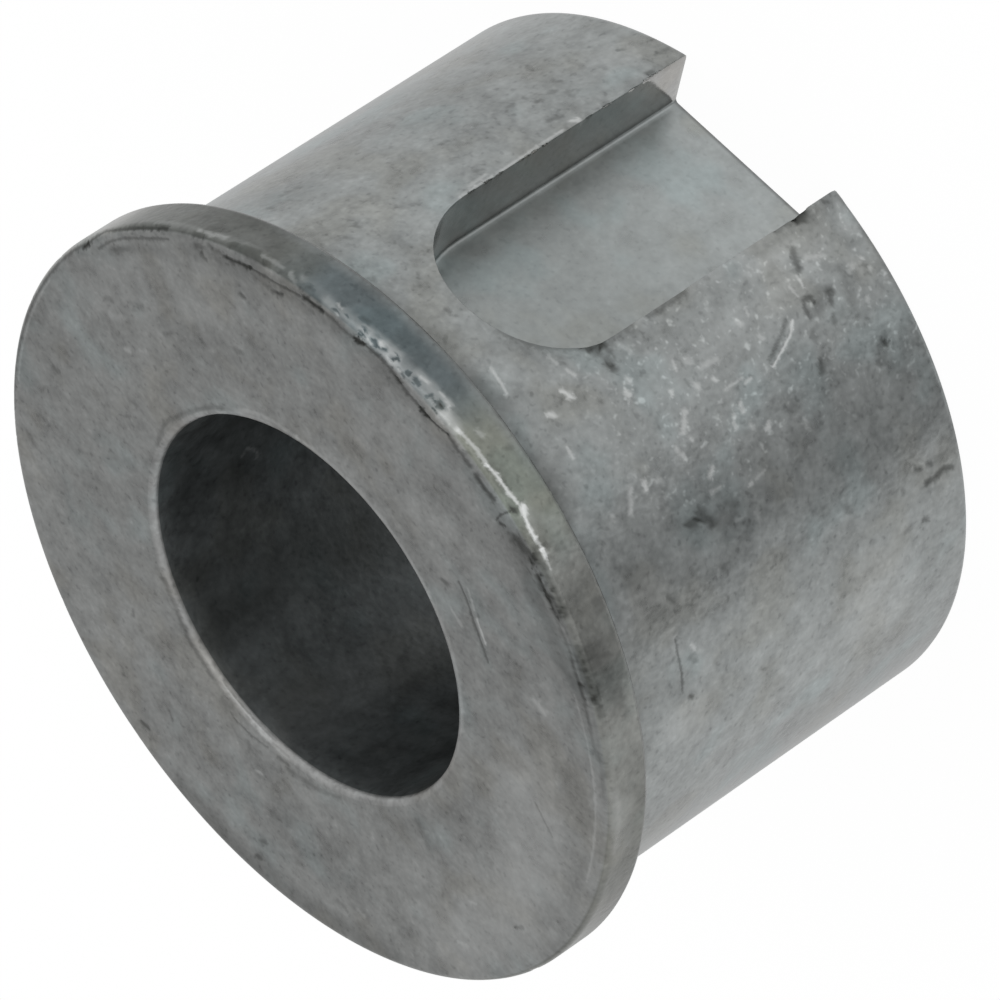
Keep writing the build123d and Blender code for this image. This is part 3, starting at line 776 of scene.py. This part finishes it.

# Narrow marks get a ragged outline, and broad ones (stains, painted light and painted shade) a smoother one.
broad_flat_width, broad_dented_width = 0.5 * mm, 1.5 * mm
broad_ragged, nick_ragged = (0.25, 0.0), (0.7, 0.4)
coarse_size, fine_size = 0.2 * mm, 0.08 * mm
darkest, brightest = -1.2, 1.6
tones = [0.0] * len(body.verts)
pressed = [0.0] * len(body.verts)
for width, depth, tone, line in lines:
    is_broad = width > (broad_flat_width if depth == 0 else broad_dented_width)
    coarse, fine_grain = broad_ragged if is_broad else nick_ragged
    closest = {}
    for place in line:
        for spot, index, distance in skin.find_range(place, 0.65 * width):
            uneven = coarse * noise_at(spot / coarse_size) + fine_grain * noise_at(spot / fine_size)
            closest[index] = min(closest.get(index, width), distance * (1 + uneven))
    for index, distance in closest.items():
        share = max(0.0, 1 - 2 * distance / width)
        share = min(1.0, 1.15 * share * share * (3 - 2 * share))
        tones[index] += tone * share
        pressed[index] += depth * share
for vert in body.verts:
    vert.co -= vert.normal * pressed[vert.index]
tone_layer = body.verts.layers.float.new("mark_tone")
for vert in body.verts:
    vert[tone_layer] = max(darkest, min(brightest, tones[vert.index]))

for face in body.faces:
    face.smooth = True
body.to_mesh(bushing.data)
body.free()
triangles = sum(len(polygon.vertices) - 2 for polygon in bushing.data.polygons)
print("bushing has", triangles, "triangles")


# The metal: bare iron grey with a fine mottle, as a pressed and sized part has. The bore is darker, the
# flange's rim is stained, and the slot's floor has painted light, lighter towards the open end.
metal = bpy.data.materials.new("worn_iron")
metal.use_nodes = True
tree = metal.node_tree
shader = tree.nodes["Principled BSDF"]
shader.inputs["Metallic"].default_value = 1


def add_node(tree, kind, inputs, **settings):
    """A node with its settings, and with each input linked or set."""
    node = tree.nodes.new(kind)
    for name, value in settings.items():
        setattr(node, name, value)
    for name, value in inputs.items():
        if isinstance(value, bpy.types.NodeSocket):
            tree.links.new(value, node.inputs[name])
        else:
            node.inputs[name].default_value = value
    return node


def maths(tree, operation, first, second=0.0):
    """The result of one sum on two values."""
    return add_node(tree, "ShaderNodeMath", {0: first, 1: second}, operation=operation).outputs[0]


def fade(tree, value, start, end, low=0.0, high=1.0):
    """A soft step from low to high while the value goes from start to end."""
    limits = {"Value": value, "From Min": start, "From Max": end, "To Min": low, "To Max": high}
    return add_node(tree, "ShaderNodeMapRange", limits, interpolation_type="SMOOTHSTEP").outputs[0]


def blend(tree, share, under, over, blend_type="MIX"):
    """One colour laid over another by the given share."""
    mixed = add_node(
        tree, "ShaderNodeMix", {0: share, 6: under, 7: over}, data_type="RGBA", blend_type=blend_type,
    )
    return mixed.outputs[2]


def noise(tree, place, size, detail=2.0, roughness=0.5):
    """Cloudy noise whose patches are about that size."""
    inputs = {"Vector": place, "Scale": 1 / size, "Detail": detail, "Roughness": roughness}
    return add_node(tree, "ShaderNodeTexNoise", inputs).outputs["Fac"]


place = add_node(tree, "ShaderNodeTexCoord", {}).outputs["Object"]
split = add_node(tree, "ShaderNodeSeparateXYZ", {"Vector": place})
across, depth_way, height = split.outputs
flat_place = add_node(tree, "ShaderNodeCombineXYZ", {"X": across, "Y": depth_way, "Z": 0.0}).outputs[0]
off_axis = add_node(tree, "ShaderNodeVectorMath", {0: flat_place}, operation="LENGTH").outputs["Value"]
outward = add_node(tree, "ShaderNodeVectorMath", {0: flat_place}, operation="NORMALIZE").outputs["Vector"]


def towards(degrees):
    """How nearly a point faces the given turn from the slot: one there, and minus one opposite."""
    way = (math.sin(math.radians(degrees)), -math.cos(math.radians(degrees)), 0)
    facing = add_node(tree, "ShaderNodeVectorMath", {0: outward, 1: way}, operation="DOT_PRODUCT")
    return facing.outputs["Value"]


def sector(degrees, full, none):
    """A soft mask that is one within the full half-angle of a turn and zero beyond the other."""
    return fade(tree, towards(degrees), math.cos(math.radians(none)), math.cos(math.radians(full)))


grain = noise(tree, place, 0.22 * mm, 1)
mottle = noise(tree, place, 2.2 * mm, 3, 0.85)
clouds = noise(tree, place, 5 * mm, 2)
on_face = fade(tree, height, 24.40 * mm, 24.48 * mm)
off_face = maths(tree, "SUBTRACT", 1.0, on_face)
on_rim = maths(tree, "MULTIPLY", fade(tree, off_axis, 18.3 * mm, 18.7 * mm), off_face)
in_bore = fade(tree, off_axis, 9.75 * mm, 9.68 * mm)
tone = blend(tree, on_face, (0.349, 0.367, 0.364, 1), (0.362, 0.370, 0.364, 1))

# The slot: the distance from its centre line, seen from in front, tells its floor from its walls.
past_straight = maths(tree, "MAXIMUM", maths(tree, "SUBTRACT", height, slot_straight), 0.0)
slot_place = add_node(tree, "ShaderNodeCombineXYZ", {"X": across, "Y": 0.0, "Z": past_straight}).outputs[0]
off_middle = add_node(tree, "ShaderNodeVectorMath", {0: slot_place}, operation="LENGTH").outputs["Value"]
in_front = fade(tree, depth_way, -13.3 * mm, -13.55 * mm)
in_cut = maths(tree, "MULTIPLY", in_front, fade(tree, off_axis, 17.42 * mm, 17.36 * mm))
in_cut = maths(tree, "MULTIPLY", in_cut, fade(tree, off_middle, 4.86 * mm, 4.84 * mm))
on_wall = maths(tree, "MULTIPLY", in_cut, fade(tree, depth_way, -13.68 * mm, -13.78 * mm))
on_floor = maths(tree, "SUBTRACT", in_cut, on_wall)
# Painted light: the slot floor's colour is lighter towards the open end.
slot_colour_and_shading = blend(tree, fade(tree, height, 14 * mm, 0.0), (0.345, 0.367, 0.363, 1), (0.441, 0.469, 0.466, 1))
# Painted shade on its floor beside the wall on +X, less so at the open end, where it has a dark line.
off_end = fade(tree, height, 0.6 * mm, 2.8 * mm)
inwards = maths(tree, "MAXIMUM", off_end, fade(tree, across, 3.1 * mm, 4.1 * mm))
painted_wall_shade = maths(tree, "MULTIPLY", fade(tree, across, 1.0 * mm, 3.0 * mm), inwards)
slot_colour_and_shading = blend(tree, maths(tree, "MULTIPLY", painted_wall_shade, 0.19), slot_colour_and_shading, (0.06, 0.07, 0.07, 1))
far_edge = fade(tree, height, 0.26 * mm, 0.06 * mm, 0.0, 0.6)
slot_colour_and_shading = blend(tree, far_edge, slot_colour_and_shading, (0.14, 0.14, 0.14, 1))
tone = blend(tree, on_floor, tone, slot_colour_and_shading)
# Its walls turn lighter towards the corner between the open end and the barrel: a painted reflection.
slant = maths(tree, "ADD", height, maths(tree, "MULTIPLY", depth_way, 1.1))
corner_reflection_paint = fade(tree, slant, -14.2 * mm, -15.2 * mm)
wall_tone = blend(tree, corner_reflection_paint, (0.353, 0.355, 0.344, 1), (0.43, 0.43, 0.42, 1))
tone = blend(tree, on_wall, tone, wall_tone)

# The rim's stains, each over a stretch of turns. Its back is rubbed light by the slot, and its back edge has
# a painted shadow.
rim_tone = (0.205, 0.210, 0.195, 1)
for degrees, full, none, stain in (
    (75, 18, 32, (0.41, 0.412, 0.395, 1)),
    (-43, 18, 36, (0.33, 0.337, 0.320, 1)),
    (-20, 8, 18, (0.25, 0.262, 0.230, 1)),
    (34, 12, 24, (0.15, 0.157, 0.148, 1)),
    (1, 10, 20, (0.140, 0.165, 0.172, 1)),
):
    rim_tone = blend(tree, sector(degrees, full, none), rim_tone, stain)
rubbed = fade(tree, height, 22.95 * mm, 22.2 * mm, 0.0, 0.75)
rubbed = maths(tree, "MULTIPLY", rubbed, sector(0, 18, 30))
rim_tone = blend(tree, rubbed, rim_tone, (0.245, 0.262, 0.260, 1))
painted_back_shadow = fade(tree, height, 22.37 * mm, 22.3 * mm, 0.0, 0.5)
rim_tone = blend(tree, painted_back_shadow, rim_tone, (0.15, 0.155, 0.15, 1))
tone = blend(tree, on_rim, tone, rim_tone)

# The far flank is duller. The bore is darker, and its mouth is worn bright.
outside = maths(tree, "MULTIPLY", fade(tree, off_axis, 17.0 * mm, 17.3 * mm), off_face)
outside = maths(tree, "MULTIPLY", outside, sector(-140, 42, 56))
tone = blend(tree, maths(tree, "MULTIPLY", outside, 0.24), tone, (0.05, 0.052, 0.048, 1))
tone = blend(tree, in_bore, tone, (0.175, 0.188, 0.189, 1))
by_bore = fade(tree, off_axis, 10.02 * mm, 9.96 * mm)
mouth = maths(tree, "MULTIPLY", by_bore, fade(tree, height, 24.15 * mm, 24.2 * mm))
tone = blend(tree, mouth, tone, (0.42, 0.425, 0.42, 1))

# Faint patches of blue-green and warm grey, a speckle of light and dark spots, then the marks themselves.
# The light spots are partly painted glints, and some marks are painted highlights and painted shade.
hue = noise(tree, place, 4.5 * mm, 2, 0.6)
cold = blend(tree, fade(tree, hue, 0.52, 0.68), tone, (0.96, 1.01, 1.02, 1), "MULTIPLY")
tone = blend(tree, fade(tree, hue, 0.48, 0.33), cold, (1.02, 1.0, 0.97, 1), "MULTIPLY")
spots = noise(tree, place, 0.34 * mm, 1)
chips_and_glints = maths(tree, "MULTIPLY", sector(-30, 8, 18), fade(tree, height, 18.5 * mm, 15.5 * mm))
light_share = fade(tree, spots, 0.58, 0.84)
light_spots = maths(tree, "MULTIPLY", light_share, fade(tree, chips_and_glints, 0.0, 1.0, 0.15, 0.6))
dark_spots = maths(tree, "MULTIPLY", fade(tree, spots, 0.42, 0.22), 0.2)
shade = maths(tree, "MULTIPLY", maths(tree, "SUBTRACT", grain, 0.5), 0.22)
shade = maths(tree, "ADD", shade, maths(tree, "MULTIPLY", maths(tree, "SUBTRACT", mottle, 0.5), 1.25))
shade = maths(tree, "ADD", shade, maths(tree, "MULTIPLY", maths(tree, "SUBTRACT", clouds, 0.5), 0.3))
shade = maths(tree, "ADD", shade, light_spots)
shade = maths(tree, "SUBTRACT", shade, dark_spots)
shade = maths(tree, "MULTIPLY", shade, fade(tree, in_cut, 0.0, 1.0, 1.0, 0.55))
shade = maths(tree, "ADD", shade, 0.965)
tone = add_node(tree, "ShaderNodeVectorMath", {0: tone, "Scale": shade}, operation="SCALE").outputs["Vector"]
mark = add_node(tree, "ShaderNodeAttribute", {}, attribute_name="mark_tone").outputs["Fac"]
tone = blend(tree, maths(tree, "MULTIPLY", mark, 0.6), tone, (0.93, 0.95, 0.94, 1))
tone = blend(tree, maths(tree, "MULTIPLY", mark, -0.85), tone, (0.05, 0.052, 0.048, 1))
tree.links.new(tone, shader.inputs["Base Color"])
rough = fade(tree, mottle, 0.3, 0.7, 0.27, 0.34)
rough = maths(tree, "SUBTRACT", rough, maths(tree, "MULTIPLY", on_wall, 0.13))
rough = maths(tree, "ADD", rough, maths(tree, "MULTIPLY", maths(tree, "MAXIMUM", mouth, in_bore), 0.22))
tree.links.new(rough, shader.inputs["Roughness"])
fine_relief = maths(tree, "MULTIPLY", grain, 0.006 * mm)
uneven = maths(tree, "ADD", fine_relief, maths(tree, "MULTIPLY", mottle, 0.05 * mm))
uneven = maths(tree, "MULTIPLY", uneven, fade(tree, in_cut, 0.0, 1.0, 1.0, 0.25))
bump = add_node(tree, "ShaderNodeBump", {"Strength": 1.0, "Distance": 1.0, "Height": uneven})
tree.links.new(bump.outputs["Normal"], shader.inputs["Normal"])
bushing.data.materials.clear()
bushing.data.materials.append(metal)

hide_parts("bushing")
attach(bushing, "root")


# The floor is a plain white sheet. It shows white to the camera and keeps a faint shadow of the part.
floor_mesh = bmesh.new()
bmesh.ops.create_grid(floor_mesh, x_segments=1, y_segments=1, size=1.5)
bmesh.ops.translate(floor_mesh, verts=floor_mesh.verts, vec=(0, 0, -0.02 * mm))
floor = object_from(floor_mesh, "floor")
floor.visible_glossy = False
paper = bpy.data.materials.new("white_sheet")
paper.use_nodes = True
tree = paper.node_tree
tree.nodes.remove(tree.nodes["Principled BSDF"])


def shown_rays(tree):
    """One for the rays that show the background: to the camera, off metal and through glass."""
    rays = add_node(tree, "ShaderNodeLightPath", {}).outputs
    off_metal = maths(tree, "MAXIMUM", rays["Is Glossy Ray"], rays["Is Transmission Ray"])
    return maths(tree, "MAXIMUM", rays["Is Camera Ray"], off_metal)


lit = add_node(tree, "ShaderNodeBsdfDiffuse", {"Color": (0.9, 0.9, 0.9, 1)}).outputs[0]
plain_white = 1.02
shown_share = 0.95
glow = add_node(tree, "ShaderNodeEmission", {"Strength": plain_white}).outputs[0]
shown = maths(tree, "MULTIPLY", shown_rays(tree), shown_share)
sheet = add_node(tree, "ShaderNodeMixShader", {0: shown, 1: lit, 2: glow})
tree.links.new(sheet.outputs[0], tree.nodes["Material Output"].inputs["Surface"])
floor.data.materials.append(paper)


# The light is a white tent with two dark cards in it: one low beyond the barrel's right flank, and one
# behind the flange. The camera sees plain white, and the metal shows the same white with the cards.
world = bpy.data.worlds.new("tent")
scene.world = world
world.use_nodes = True
tree = world.node_tree
way = add_node(tree, "ShaderNodeTexCoord", {}).outputs["Generated"]
tent_strength = 0.93
cards = 1.0
for middle, inner, outer, darkening in (
    ((-0.796, -0.297, -0.528), 4, 25, 0.58),
    ((0.343, 0.777, 0.60), 15, 60, 0.36),
):
    facing = add_node(tree, "ShaderNodeVectorMath", {0: way, 1: middle}, operation="DOT_PRODUCT")
    starts, fills = math.cos(math.radians(outer)), math.cos(math.radians(inner))
    card = fade(tree, facing.outputs["Value"], starts, fills, 1.0, 1.0 - darkening)
    cards = maths(tree, "MULTIPLY", card, cards)
to_camera = add_node(tree, "ShaderNodeLightPath", {}).outputs["Is Camera Ray"]
cards = maths(tree, "MAXIMUM", cards, to_camera)
tent_light = maths(tree, "MULTIPLY", cards, tent_strength)
tent = add_node(tree, "ShaderNodeBackground", {"Strength": tent_light}).outputs[0]
plain = add_node(tree, "ShaderNodeBackground", {"Strength": cards}).outputs[0]
seen = add_node(tree, "ShaderNodeMixShader", {0: shown_rays(tree), 1: tent, 2: plain})
tree.links.new(seen.outputs[0], tree.nodes["World Output"].inputs["Surface"])


# A strip lamp stands over the camera, for the bright line along the worn front edge of the flange.
lamp = bpy.data.objects.new("edge_lamp", bpy.data.lights.new("edge_lamp", "AREA"))
lamp.data.shape = "RECTANGLE"
lamp.data.size = 0.5
lamp.data.size_y = 0.13
lamp.data.energy = 0.07
lamp_way = Vector((0.12, -0.50, 0.82))
lamp_distance = 0.6
lamp.location = lamp_way * lamp_distance
lamp.rotation_euler = lamp_way.to_track_quat("Z", "Y").to_euler()
scene.collection.objects.link(lamp)
